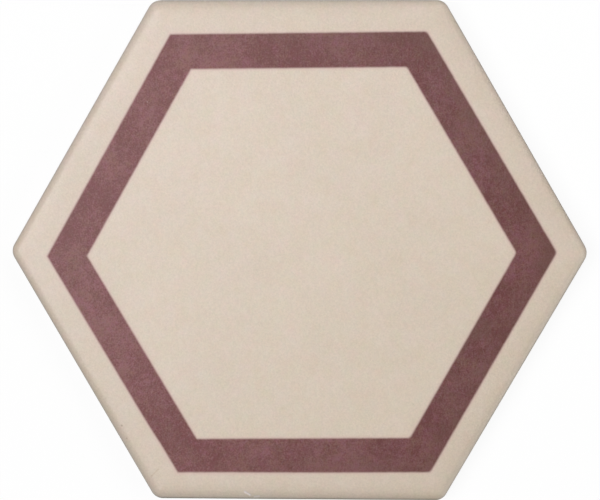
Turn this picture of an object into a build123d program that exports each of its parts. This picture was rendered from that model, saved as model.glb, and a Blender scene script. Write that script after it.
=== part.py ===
from build123d import *
from math import sqrt
import os

# Hexagonal floor tile, dry-pressed, glazed and fired in one piece.
# The walked-on face is flat inside a rounded cushion rim. The back has a plain border round a honeycomb of
# shallow drafted pockets, which key the tile into its bed of adhesive.
# The origin is the middle of the back, +Z points out of the face, +X at a corner and +Y at a flat side.

# Driving dimensions, in millimetres and degrees
across_flats = 150.0  # from one side to the opposite side
thickness = 9.0  # from the back's border and ribs to the face
rim_radius = 3.0  # cushion rim, from the face down to the wall
face_corner_radius = 1.0  # corner of the flat face, inside the rim
arris = 0.6  # small bevel between the wall and the back

key_rings = 6  # rings of pockets round the middle one
key_border = 7.0  # plain border between the pockets and the wall
key_rib = 2.4  # rib between two pockets, at the back
key_depth = 0.8  # pocket depth
key_draft = 25.0  # lean of a pocket's walls, so that the tile leaves the press

# Sizes that follow from them
apothem = across_flats / 2
corner_radius = rim_radius + face_corner_radius
row_per_pitch = sqrt(3) / 2  # distance between rows of a honeycomb, for a pitch of 1
reach_per_width = 1 / sqrt(3)  # middle to corner of a hexagon, for 1 across its flats
# The rows and the outermost pockets' corners fill the apothem out to the border
key_pitch = (apothem - key_border + key_rib * reach_per_width) / (
    key_rings * row_per_pitch + reach_per_width
)
pocket_across_flats = key_pitch - key_rib


def honeycomb_centres(rings, pitch):
    """Centres of a honeycomb of that many rings, with its corner cells towards the tile's corners."""
    centres = []
    for row in range(-rings, rings + 1):
        cells = 2 * rings + 1 - abs(row)
        first_x = -(cells - 1) * pitch / 2
        for cell in range(cells):
            centres.append((first_x + cell * pitch, row * pitch * row_per_pitch))
    return centres


# One pocket, as the stud on the press plate that makes it, standing on the plane of the back
with BuildPart() as key_stud:
    with BuildSketch():
        RegularPolygon(pocket_across_flats / 2, side_count=6, major_radius=False, rotation=30)
    extrude(amount=key_depth, taper=key_draft)

with BuildPart() as tile:
    # Pressed blank with upright walls and rounded corners
    with BuildSketch():
        RegularPolygon(apothem, side_count=6, major_radius=False)
        fillet(vertices(), corner_radius)
    extrude(amount=thickness)

    # Cushion rim round the face, and the arris round the back
    fillet(faces().sort_by(Axis.Z)[-1].edges(), rim_radius)
    chamfer(faces().sort_by(Axis.Z)[0].edges(), arris)

    # Honeycomb of key pockets in the back
    with Locations(*honeycomb_centres(key_rings, key_pitch)):
        add(key_stud.part, mode=Mode.SUBTRACT)

tile.part.label = "hexagon_tile"

os.makedirs("parts", exist_ok=True)
export_step(tile.part, "parts/hexagon_tile.step")
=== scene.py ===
import math

import bmesh
import bpy
from mathutils import Matrix, Vector, noise


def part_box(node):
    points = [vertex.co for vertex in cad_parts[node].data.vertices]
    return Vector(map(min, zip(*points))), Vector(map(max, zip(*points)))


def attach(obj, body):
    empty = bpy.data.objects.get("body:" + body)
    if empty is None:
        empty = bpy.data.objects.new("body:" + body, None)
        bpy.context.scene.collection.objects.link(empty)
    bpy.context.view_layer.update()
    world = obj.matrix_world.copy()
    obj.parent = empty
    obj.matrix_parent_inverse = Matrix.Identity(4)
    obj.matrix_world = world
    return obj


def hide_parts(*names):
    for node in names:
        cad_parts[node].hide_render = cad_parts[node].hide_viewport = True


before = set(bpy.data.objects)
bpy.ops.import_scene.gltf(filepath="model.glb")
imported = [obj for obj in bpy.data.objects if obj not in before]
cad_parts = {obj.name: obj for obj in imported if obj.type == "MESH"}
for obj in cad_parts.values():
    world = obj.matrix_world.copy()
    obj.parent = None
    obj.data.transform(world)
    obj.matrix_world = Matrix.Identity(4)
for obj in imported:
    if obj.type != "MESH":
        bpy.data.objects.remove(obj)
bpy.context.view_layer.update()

# The tile: one hexagon of stoneware clay, dry-pressed in a steel die, glazed on its face and rim, and fired.
# It is made from the outside inwards: outline, walls, cushion rim, flat face and keyed back. It lies loose on
# its back, held by nothing.

MM = 0.001
SIDES = 6
QUAD = 4  # corners of the faces that the steps of the section leave behind
HALF_SIDE_ANGLE = math.pi / SIDES

low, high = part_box("hexagon_tile")
apothem = (high.y - low.y) / 2
thickness = high.z - low.z
corner_radius = 4.0 * MM
rim_width = 2.8 * MM
rim_height = 2.1 * MM
arris = 0.6 * MM  # small bevel between the wall and the back

corner_segments = 8  # facets of each rounded corner
side_segments = 60  # facets of each straight side
rim_segments = 9  # facets of the rim's quarter round
shoulder_segments = 2  # rings from the rim to where the rounded corners close up
face_rings = 24
face_ring_spread = 1.6  # over 1, the rings lie closer together towards the rim
weld_distance = 0.02 * MM

face_apothem = apothem - corner_radius  # where the rounded corners have closed up to points
face_reach = face_apothem / math.cos(HALF_SIDE_ANGLE)

tile = bmesh.new()

# The outline: a small circle whose six parts are moved apart to the corners
circle_segments = SIDES * corner_segments
half_segment = math.pi / circle_segments
outline = bmesh.ops.create_circle(
    tile,
    cap_ends=True,
    segments=circle_segments,
    radius=corner_radius / math.cos(half_segment),
    matrix=Matrix.Translation((0, 0, arris)) @ Matrix.Rotation(half_segment, 4, "Z"),
)["verts"]
for corner in range(SIDES):
    direction = Matrix.Rotation(2 * HALF_SIDE_ANGLE * corner, 3, "Z") @ Vector((1, 0, 0))
    arc = [v for v in outline if v.co.xy.normalized().dot(direction.xy) > math.cos(HALF_SIDE_ANGLE)]
    outline = [v for v in outline if v not in arc]
    bmesh.ops.translate(tile, verts=arc, vec=direction * face_reach)
straight_sides = [e for e in tile.edges if e.calc_length() > face_apothem]
bmesh.ops.subdivide_edges(tile, edges=straight_sides, cuts=side_segments - 1)

# The walls, raised from the arris to the foot of the rim
lower_face = tile.faces[:][0]
rim_foot = thickness - rim_height
raised = bmesh.ops.extrude_face_region(tile, geom=[lower_face], use_keep_orig=True)["geom"]
upper_face = next(f for f in raised if isinstance(f, bmesh.types.BMFace))
bmesh.ops.translate(tile, verts=upper_face.verts[:], vec=(0, 0, rim_foot - arris))


# The cushion rim: a flattened quarter round, then a shoulder in to where the rounded corners close up
def step_in(face, across, up=0.0):
    """Takes a face in by one step of the tile's section."""
    bmesh.ops.inset_region(
        tile, faces=[face], thickness=across, depth=up, use_even_offset=True, use_boundary=True
    )


for step in range(rim_segments):
    start, end = (math.pi / 2 * s / rim_segments for s in (step, step + 1))
    step_in(
        upper_face,
        rim_width * (math.cos(start) - math.cos(end)),
        rim_height * (math.sin(end) - math.sin(start)),
    )
for step in range(shoulder_segments):
    step_in(upper_face, (corner_radius - rim_width) / shoulder_segments)
bmesh.ops.remove_doubles(tile, verts=upper_face.verts[:], dist=weld_distance)
upper_face = next(f for f in tile.faces if len(f.verts) > QUAD and f is not lower_face)

# The flat face, ring by ring to its middle
ring_scales = [1 - (ring / face_rings) ** face_ring_spread for ring in range(face_rings)]
for outer, inner in zip(ring_scales, ring_scales[1:]):
    step_in(upper_face, 0.0)
    bmesh.ops.scale(tile, verts=upper_face.verts[:], vec=(inner / outer, inner / outer, 1))
bmesh.ops.poke(tile, faces=[upper_face])

# The face falls away a little before the rim, most at the far and near sides, and waves very slightly
roll_off_width = 6.0 * MM
roll_off_drop = 0.7 * MM
crown_swing = 0.4  # how much the roll-off differs round the tile
crown_axis = math.radians(80)  # where it is deepest
wave_size = 38 * MM
wave_height = 0.03 * MM
side_angles = [HALF_SIDE_ANGLE * (1 + 2 * side) for side in range(SIDES)]
side_normals = [Vector((math.cos(angle), math.sin(angle))) for angle in side_angles]
for vert in tile.verts:
    if vert.co.z > rim_foot:
        inward = apothem - max(vert.co.xy.dot(normal) for normal in side_normals)
        crown = 1 + crown_swing * math.cos(2 * (math.atan2(vert.co.y, vert.co.x) - crown_axis))
        roll_off = crown * roll_off_drop * max(0.0, 1 - inward / roll_off_width) ** 2
        wave = (1 + noise.noise(vert.co.xy.to_3d() / wave_size)) / 2
        lift = (vert.co.z - rim_foot) / rim_height
        vert.co.z -= lift * (roll_off + wave_height * wave)

# The arris and the plain border of the back
step_in(lower_face, arris, arris)
border_edges = lower_face.edges[:]
bmesh.ops.delete(tile, geom=[lower_face], context="FACES_ONLY")

# The honeycomb of key pockets, each sunk in rounded steps
key_rings = 6
key_border = 7.0 * MM
key_rib = 2.4 * MM
key_depth = 0.8 * MM
key_draft = math.radians(25)
pocket_corner = 0.8 * MM
pocket_corner_segments = 2
pocket_edge = 0.2 * MM  # rounding at the pocket's brim and floor
pocket_segments = 5

row_per_pitch = math.cos(HALF_SIDE_ANGLE)
reach_per_width = math.tan(HALF_SIDE_ANGLE)
key_pitch = (apothem - key_border + key_rib * reach_per_width) / (key_rings * row_per_pitch + reach_per_width)
pocket_reach = ((key_pitch - key_rib) / 2 + pocket_edge) / math.cos(HALF_SIDE_ANGLE)

pockets = []
for row in range(-key_rings, key_rings + 1):
    cells = 2 * key_rings + 1 - abs(row)
    for cell in range(cells):
        centre = Vector(((cell - (cells - 1) / 2) * key_pitch, row * key_pitch * row_per_pitch, 0))
        brim = bmesh.ops.create_circle(
            tile, cap_ends=True, segments=SIDES, radius=pocket_reach, matrix=Matrix.Translation(centre)
        )["verts"]
        pockets.append(brim[0].link_faces[0])
bmesh.ops.bevel(
    tile,
    geom=[v for pocket in pockets for v in pocket.verts],
    affect="VERTICES",
    offset=pocket_corner,
    segments=pocket_corner_segments,
    profile=0.5,
    material=-1,
)
pockets = [f for f in tile.faces if f.calc_center_median().z < arris / 2 and len(f.verts) > QUAD]
brim_edges = [e for pocket in pockets for e in pocket.edges]
bmesh.ops.triangle_fill(tile, use_beauty=True, edges=border_edges + brim_edges, normal=(0, 0, -1))
pocket_wall = key_depth * math.tan(key_draft) + 2 * pocket_edge
for step in range(pocket_segments):
    start, end = (math.pi * s / pocket_segments for s in (step, step + 1))
    bmesh.ops.inset_individual(
        tile,
        faces=pockets,
        thickness=pocket_wall / pocket_segments,
        depth=key_depth * (math.cos(start) - math.cos(end)) / 2,
        use_even_offset=True,
    )

sharp_angle = math.radians(30)
bmesh.ops.recalc_face_normals(tile, faces=tile.faces[:])
for face in tile.faces:
    face.smooth = True
for edge in tile.edges:
    edge.smooth = edge.calc_face_angle(0) < sharp_angle

tile_mesh = bpy.data.meshes.new("glazed_hexagon")
tile.to_mesh(tile_mesh)
tile.free()
glazed_hexagon = bpy.data.objects.new("glazed_hexagon", tile_mesh)
bpy.context.scene.collection.objects.link(glazed_hexagon)


# The tile's finish: cream glaze with a printed band, and bare clay on the lower walls and the back
class Shade:
    """One value or colour in a shader, so that its maths can be written with plain operators."""

    def __init__(self, tree, socket=None):
        self.tree = tree
        self.socket = socket

    def node(self, kind, settings, inputs, result):
        """Adds a node of this kind with its settings and inputs, and gives the named one of its results."""
        added = self.tree.nodes.new("ShaderNode" + kind)
        for name, setting in settings.items():
            setattr(added, name, setting)
        sockets = {socket.identifier: socket for socket in added.inputs}
        for name, value in inputs.items():
            if isinstance(value, Shade):
                self.tree.links.new(value.socket, sockets[name])
            else:
                sockets[name].default_value = value
        results = {socket.identifier: socket for socket in added.outputs}
        return Shade(self.tree, results[result])

    def maths(self, operation, *values):
        """Adds a Math node."""
        names = ("Value", "Value_001", "Value_002")
        return self.node("Math", {"operation": operation}, dict(zip(names, values)), "Value")

    def __add__(self, other):
        return self.maths("ADD", self, other)

    def __radd__(self, other):
        return self.maths("ADD", other, self)

    def __sub__(self, other):
        return self.maths("SUBTRACT", self, other)

    def __rsub__(self, other):
        return self.maths("SUBTRACT", other, self)

    def __mul__(self, other):
        return self.maths("MULTIPLY", self, other)

    def __rmul__(self, other):
        return self.maths("MULTIPLY", other, self)

    def __truediv__(self, other):
        return self.maths("DIVIDE", self, other)

    def __abs__(self):
        return self.maths("ABSOLUTE", self)

    def rise(self, start, end):
        """Goes softly from 0 at the start to 1 at the end."""
        return self.node(
            "MapRange",
            {"interpolation_type": "SMOOTHSTEP"},
            {"Value": self, "From Min": start, "From Max": end, "To Min": 0.0, "To Max": 1.0},
            "Result",
        )

    def fall(self, start, end):
        """Goes softly from 1 at the start to 0 at the end."""
        return 1 - self.rise(start, end)

    def blend(self, colour, other):
        """Mixes two colours, all of the first at 0 and all of the other at 1."""
        return self.node(
            "Mix",
            {"data_type": "RGBA"},
            {"Factor_Float": self, "A_Color": colour, "B_Color": other},
            "Result_Color",
        )

    def clouded(self, lighter, redder, bluer):
        """Changes a colour by shares of itself: all of it, its red against its green, and its blue."""
        shares = self.node(
            "CombineXYZ",
            {},
            {"X": 1 + lighter + redder, "Y": 1 + lighter - redder, "Z": 1 + lighter + bluer},
            "Vector",
        )
        return self.node(
            "VectorMath", {"operation": "MULTIPLY"}, {"Vector": self, "Vector_001": shares}, "Vector"
        )

    def cloud(self, size, seed, strength, octaves=1, evenness=0.5):
        """Random patches of this size in millimetres, from about -strength to strength."""
        field = self.node(
            "TexNoise",
            {"noise_dimensions": "4D"},
            {"Vector": self, "W": seed, "Scale": 1 / size, "Detail": octaves - 1, "Roughness": evenness},
            "Fac",
        )
        return field * (2 * strength) - strength


stoneware = bpy.data.materials.new("glazed_stoneware")
stoneware.use_nodes = True
stoneware_tree = stoneware.node_tree
glaze = stoneware_tree.nodes["Principled BSDF"]

# Where a point lies on the tile, in millimetres, as all lengths of the finish are
place = Shade(stoneware_tree).node("TexCoord", {}, {}, "Object")
place = place.node("VectorMath", {"operation": "SCALE"}, {"Vector": place, "Scale": 1 / MM}, "Vector")
place_x, place_y, place_z = (place.node("SeparateXYZ", {}, {"Vector": place}, axis) for axis in "XYZ")
change_reach = 60  # slow changes over the face end this far from its middle
across = place_x.rise(-change_reach, change_reach)  # 0 at the tile's left and 1 at its right
upward = place_y.rise(-change_reach, change_reach)  # 0 at its near side and 1 at its far side


def from_left(left, right):
    """Goes from one value at the tile's left to another at its right."""
    return left + (right - left) * across


# Where the band is printed: between two hexagons that sit a little off the middle and a little turned
band_inner = 55.57  # from the band's middle to its sides
band_outer = 66.00
band_centre = (0.87, -0.56)
band_turn = math.radians(0.63)
band_edge = 0.42  # softness of its edges
band_corner_round = (0.35, 1.3)  # at the left and at the right
band_skew = 0.25  # how far the outer edge runs in at the lower left
skew_upward = (-60, -50)  # where that ends towards the far side
skew_across = (-35, 15)  # and towards the right
band_x = place_x - band_centre[0]
band_y = place_y - band_centre[1]
corner_round = from_left(*band_corner_round)
reaches = []
for side_angle in side_angles[: SIDES // 2]:
    turned = side_angle + band_turn
    reaches.append(abs(band_x * math.cos(turned) + band_y * math.sin(turned)))
band_reach = reaches[0].maths("SMOOTH_MAX", reaches[0], reaches[1], corner_round)
band_reach = band_reach.maths("SMOOTH_MAX", band_reach, reaches[2], corner_round)
band_reach = band_reach + place.cloud(size=3, seed=3.0, strength=0.10, octaves=3, evenness=0.6)
outer_reach = band_reach + band_skew * place_y.fall(*skew_upward) * place_x.fall(*skew_across)
band = band_reach.rise(band_inner - band_edge, band_inner + band_edge)
band = band * outer_reach.fall(band_outer - band_edge, band_outer + band_edge)

# The cream glaze, faintly clouded, a little lighter inside the band and stained pink along the band's edges
cream = (0.638, 0.533, 0.436, 1)
cream_inside = (0.660, 0.555, 0.453, 1)
cream_stained = (0.620, 0.400, 0.375, 1)
inside_depth = 5  # the change to the lighter cream
stain_width = 1.1
stain_share = 0.45
outside = band_reach.rise(band_inner - inside_depth, band_inner + inside_depth)
glaze_colour = outside.blend(cream_inside, cream)
cream_patches = place.cloud(size=20, seed=2.0, strength=0.085, octaves=6, evenness=0.9)
cream_grain = place.cloud(size=0.45, seed=2.5, strength=0.09)
glaze_colour = glaze_colour.clouded(
    lighter=cream_patches + cream_grain,
    redder=place.cloud(size=4, seed=1.0, strength=0.05, octaves=3, evenness=0.9),
    bluer=place.cloud(size=5, seed=1.5, strength=0.09, octaves=3, evenness=0.9),
)
stain = band_reach.rise(band_inner - stain_width, band_inner)
stain = stain * band_reach.fall(band_outer, band_outer + stain_width)
glaze_colour = (stain_share * stain).blend(glaze_colour, cream_stained)

# The band's reddish brown, mottled, lighter and redder at the left and browner at the right
band_dark = (0.122, 0.020, 0.019, 1)
band_pale = (0.192, 0.066, 0.065, 1)
band_brown = (0.115, 0.044, 0.030, 1)
band_lightness = (0.07, -0.07)  # at the left and at the right, as the next two
band_redness = (0.04, -0.01)
brown_share = (0.12, 0.57)
brown_softness = 0.4
brown_edge_share = 0.32  # more brown at the right, towards the band's outer edge
brown_edge_from = 58.57
halfway = 0.5  # between two colours
band_patches = place.cloud(size=28, seed=5.0, strength=2.5, octaves=7, evenness=0.98)
band_grain = place.cloud(size=0.45, seed=5.5, strength=0.85)
red_patches = place.cloud(size=3, seed=4.0, strength=0.19, octaves=3, evenness=0.8)
blue_patches = place.cloud(size=3, seed=4.5, strength=0.70, octaves=3, evenness=0.9)
brown_patches = place.cloud(size=9, seed=5.7, strength=1.0, octaves=5, evenness=0.7)
band_colour = (halfway + band_patches + band_grain).blend(band_dark, band_pale)
band_colour = band_colour.clouded(
    lighter=from_left(*band_lightness),
    redder=from_left(*band_redness) + red_patches,
    bluer=blue_patches,
)
brown = brown_patches.rise(0, brown_softness) * from_left(*brown_share)
brown = brown + brown_edge_share * across * band_reach.rise(brown_edge_from, band_outer)
band_colour = brown.blend(band_colour, band_brown)
glaze_colour = band.blend(glaze_colour, band_colour)

# Painted light: the whole glaze is painted a little duller and yellower towards the lower right. This stands
# in for the lamps' light falling off from the upper left and for the warmer light at the right
painted_light_falloff = 0.033
painted_warm_light_cast = 0.02
painted_light_slope = upward - across  # 1 at the upper left and -1 at the lower right
glaze_colour = glaze_colour.clouded(lighter=painted_light_falloff * painted_light_slope, redder=0.0, bluer=painted_warm_light_cast * painted_light_slope)

# The glaze greys where it runs thin on the rim. Its grey carries painted light: more bluish at the left for
# the cooler light there, and more brownish at the right for the warmer light there
thin_from = 8.6  # height on the rim where the glaze begins to thin
thin_to = 6.5
thin_share = 0.30
thin_glaze_cool_light = (0.43, 0.48, 0.49, 1)
thin_glaze_warm_light = (0.51, 0.46, 0.41, 1)
thin = thin_share * place_z.fall(thin_to, thin_from)
glaze_colour = thin.blend(glaze_colour, across.blend(thin_glaze_cool_light, thin_glaze_warm_light))

# The bare fired clay below the glaze line and on the back
clay = (0.56, 0.50, 0.47, 1)
clay_dark = (0.47, 0.41, 0.38, 1)
glaze_line = 3.0  # height on the wall
glaze_line_edge = 0.25
clay_patches = place.cloud(size=7, seed=7.0, strength=0.5, octaves=5, evenness=0.7)
clay_colour = (halfway + clay_patches).blend(clay_dark, clay)
glaze_foot = place_z + place.cloud(size=14, seed=6.0, strength=0.6, octaves=3)
bare = glaze_foot.fall(glaze_line - glaze_line_edge, glaze_line + glaze_line_edge)
tile_colour = bare.blend(glaze_colour, clay_colour)

# Two sides' edges in other colours: darker and greener along the near wall, and paler along the rim's foot on
# the lower right side
near_wall_dark = (0.17, 0.18, 0.14, 1)
near_wall_dark_share = 0.45
near_wall_dark_reach = (74.1, 74.95)  # out from the tile's middle, from the rim to the wall
lower_right_pale = (0.80, 0.71, 0.59, 1)
lower_right_pale_share = 0.75
lower_right_pale_reach = (73.4, 74.9)
lower_right_pale_height = (6.4, 6.9)  # from the wall to the rim's foot
near_normal, lower_right_normal = side_normals[-2:]
edge_tone_patches = place.cloud(size=12, seed=6.5, strength=0.25, octaves=3)
near_wall_darkening = (place_x * near_normal.x + place_y * near_normal.y).rise(*near_wall_dark_reach)
tile_colour = ((near_wall_dark_share + edge_tone_patches) * near_wall_darkening).blend(tile_colour, near_wall_dark)
lower_right_paling = (place_x * lower_right_normal.x + place_y * lower_right_normal.y).rise(*lower_right_pale_reach)
lower_right_paling = lower_right_paling * place_z.rise(*lower_right_pale_height)
tile_colour = ((lower_right_pale_share + edge_tone_patches) * lower_right_paling).blend(tile_colour, lower_right_pale)

# Marks on the face: brown specks and a pale fleck in the glaze, a brown hair line, and a chip on the rim
speck_brown = (0.30, 0.22, 0.15, 1)
fleck_pale = (0.60, 0.50, 0.50, 1)
specks = [  # colour, place, radius and strength
    (speck_brown, (-53.2, -52.6), 0.50, 0.75),
    (speck_brown, (-51.8, -56.5), 0.42, 0.55),
    (speck_brown, (72.5, 12.0), 0.30, 0.35),
    (speck_brown, (34.5, -45.6), 0.30, 0.30),
    (fleck_pale, (-44.9, 44.9), 0.28, 0.40),
]
for speck_colour, (speck_x, speck_y), speck_radius, speck_strength in specks:
    off_x = place_x - speck_x
    off_y = place_y - speck_y
    away = off_x.maths("SQRT", off_x * off_x + off_y * off_y)
    tile_colour = (speck_strength * away.fall(0, speck_radius)).blend(tile_colour, speck_colour)


def stroke(start, end, half_width, waver=0.0, soft_end=0.1):
    """A soft line over the face, 1 along its middle, with its ends soft over a share of its length."""
    run = Vector(end) - Vector(start)
    length = run.length
    run.normalize()
    off_x = place_x - start[0]
    off_y = place_y - start[1]
    way = (off_x * run.x + off_y * run.y) / length
    aside = abs(off_y * run.x - off_x * run.y + waver)
    ends = way.rise(-soft_end, soft_end) * way.fall(1 - soft_end, 1 + soft_end)
    return aside.fall(0, half_width) * ends


hair_line_brown = (0.45, 0.31, 0.20, 1)
hair_line_strength = 0.40
hair_line = stroke((-42.1, -65.6), (-44.5, -68.1), half_width=0.40)
tile_colour = (hair_line_strength * hair_line).blend(tile_colour, hair_line_brown)

chip_pale = (0.78, 0.71, 0.71, 1)
chip_half_width = 0.55
chip_waver = place.cloud(size=1.5, seed=8.0, strength=0.15, octaves=2)
chip_parts = [  # start, end and strength
    ((-16.3, -72.4), (-14.4, -73.7), 0.8),
    ((-13.4, -74.1), (-11.6, -73.9), 0.5),
]
chip = sum(strength * stroke(start, end, chip_half_width, chip_waver) for start, end, strength in chip_parts)
tile_colour = chip.blend(tile_colour, chip_pale)

# The satin skin of the glaze with its fine grain, the dry clay, and the chip's hollow
glaze_roughness = 0.42
clay_roughness = 0.85
chip_roughness = 0.62
grain_height = 0.025  # in millimetres, as the other heights
clay_grain_height = 0.125
chip_depth = 0.10
roughness = glaze_roughness + (clay_roughness - glaze_roughness) * bare
roughness = roughness + (chip_roughness - glaze_roughness) * chip
grain = place.cloud(size=0.7, seed=9.0, strength=1.0, octaves=2, evenness=0.6)
relief = (grain_height + (clay_grain_height - grain_height) * bare) * grain - chip_depth * chip
skin = relief.node("Bump", {}, {"Strength": 1.0, "Distance": MM, "Height": relief}, "Normal")
stoneware_tree.links.new(tile_colour.socket, glaze.inputs["Base Color"])
stoneware_tree.links.new(roughness.socket, glaze.inputs["Roughness"])
stoneware_tree.links.new(skin.socket, glaze.inputs["Normal"])
tile_mesh.materials.append(stoneware)

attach(glazed_hexagon, "root")
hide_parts("hexagon_tile")

# The camera: a long lens over the tile. It leans a little off the upright, so that the walls of the near and
# the left sides just show.
camera_distance = 904.8 * MM
camera_lean = [("Z", 0.063), ("X", 5.582), ("Y", -2.737)]  # axis and degrees
camera_aside = Vector((0.161, -0.129, 0)) * MM

camera_data = bpy.data.cameras.new("camera")
camera_data.sensor_width = 36
camera_data.lens = 180
camera = bpy.data.objects.new("camera", camera_data)
bpy.context.scene.collection.objects.link(camera)
tile_to_camera = Matrix.Identity(4)
for axis, degrees in camera_lean:
    tile_to_camera @= Matrix.Rotation(math.radians(degrees), 4, axis)
camera.matrix_world = tile_to_camera.inverted() @ Matrix.Translation(
    camera_aside + Vector((0, 0, camera_distance))
)
bpy.context.scene.camera = camera

# The floor: a wide sheet of matt white paper that the tile lies on. It is white where the camera looks at it,
# under a faint shadow, and a pale grey to the light that it throws back at the tile.
floor_half_width = 20
floor_gap = 0.02 * MM
floor_grey = (0.27, 0.27, 0.27, 1)
floor_white = (0.96, 0.96, 0.96, 1)
seen_white = 0.92  # share of plain white in what the camera sees beside the tile
shadow_reach = 0.3  # from here the sheet turns to plain white
shadow_end = 1.2

floor_mesh = bpy.data.meshes.new("floor")
floor_net = bmesh.new()
floor_level = Matrix.Translation((0, 0, -floor_gap))
bmesh.ops.create_grid(floor_net, x_segments=1, y_segments=1, size=floor_half_width, matrix=floor_level)
floor_net.to_mesh(floor_mesh)
floor_net.free()
floor = bpy.data.objects.new("floor", floor_mesh)
bpy.context.scene.collection.objects.link(floor)

paper = bpy.data.materials.new("paper")
paper.use_nodes = True
paper_tree = paper.node_tree
matt = paper_tree.nodes["Principled BSDF"]
matt.inputs["Roughness"].default_value = 1.0
matt.inputs["Specular IOR Level"].default_value = 0.0
seen = Shade(paper_tree).node("LightPath", {}, {}, "Is Camera Ray")
paper_tree.links.new(seen.blend(floor_grey, floor_white).socket, matt.inputs["Base Color"])
white = seen.node("Emission", {}, {"Color": (1, 1, 1, 1), "Strength": 1.0}, "Emission")
spot = seen.node("TexCoord", {}, {}, "Object")
spot_distance = spot.node("VectorMath", {"operation": "LENGTH"}, {"Vector": spot}, "Value")
whiteness = seen_white + (1 - seen_white) * spot_distance.rise(shadow_reach, shadow_end)
matt_sheet = Shade(paper_tree, matt.outputs["BSDF"])
sheet = seen.node(
    "MixShader", {}, {"Fac": whiteness * seen, "Shader": matt_sheet, "Shader_001": white}, "Shader"
)
paper_tree.links.new(sheet.socket, paper_tree.nodes["Material Output"].inputs["Surface"])
floor_mesh.materials.append(paper)

# The light: three soft round lamps, the strongest above the tile's left side, one beyond its far side and one
# lower at its right, in a room that is white to the camera and dark to the tile.
lamps = [  # name, degrees from upright, degrees round from the right, distance, width and strength
    ("left", 24, 177, 1.4, 1.1, 0.83),
    ("far", 45, 64, 0.75, 0.38, 0.28),
    ("right", 60, 349, 1.4, 1.0, 0.305),
]
for lamp_name, from_upright, around, lamp_distance, lamp_width, lamp_strength in lamps:
    lamp_data = bpy.data.lights.new(lamp_name, "AREA")
    lamp_data.shape = "DISK"
    lamp_data.size = lamp_width
    lamp_data.energy = lamp_strength * (math.pi * lamp_distance) ** 2
    lamp = bpy.data.objects.new(lamp_name, lamp_data)
    aim = Matrix.Rotation(math.radians(around), 4, "Z") @ Matrix.Rotation(math.radians(from_upright), 4, "Y")
    lamp.matrix_world = aim @ Matrix.Translation((0, 0, lamp_distance))
    lamp.visible_camera = False
    bpy.context.scene.collection.objects.link(lamp)

room = bpy.data.worlds.new("room")
room.use_nodes = True
room_tree = room.node_tree
backdrop = room_tree.nodes["Background"]
backdrop.inputs["Color"].default_value = (1, 1, 1, 1)
to_camera = Shade(room_tree).node("LightPath", {}, {}, "Is Camera Ray")
room_tree.links.new(to_camera.socket, backdrop.inputs["Strength"])
bpy.context.scene.world = room

bpy.context.scene.view_settings.view_transform = "Standard"
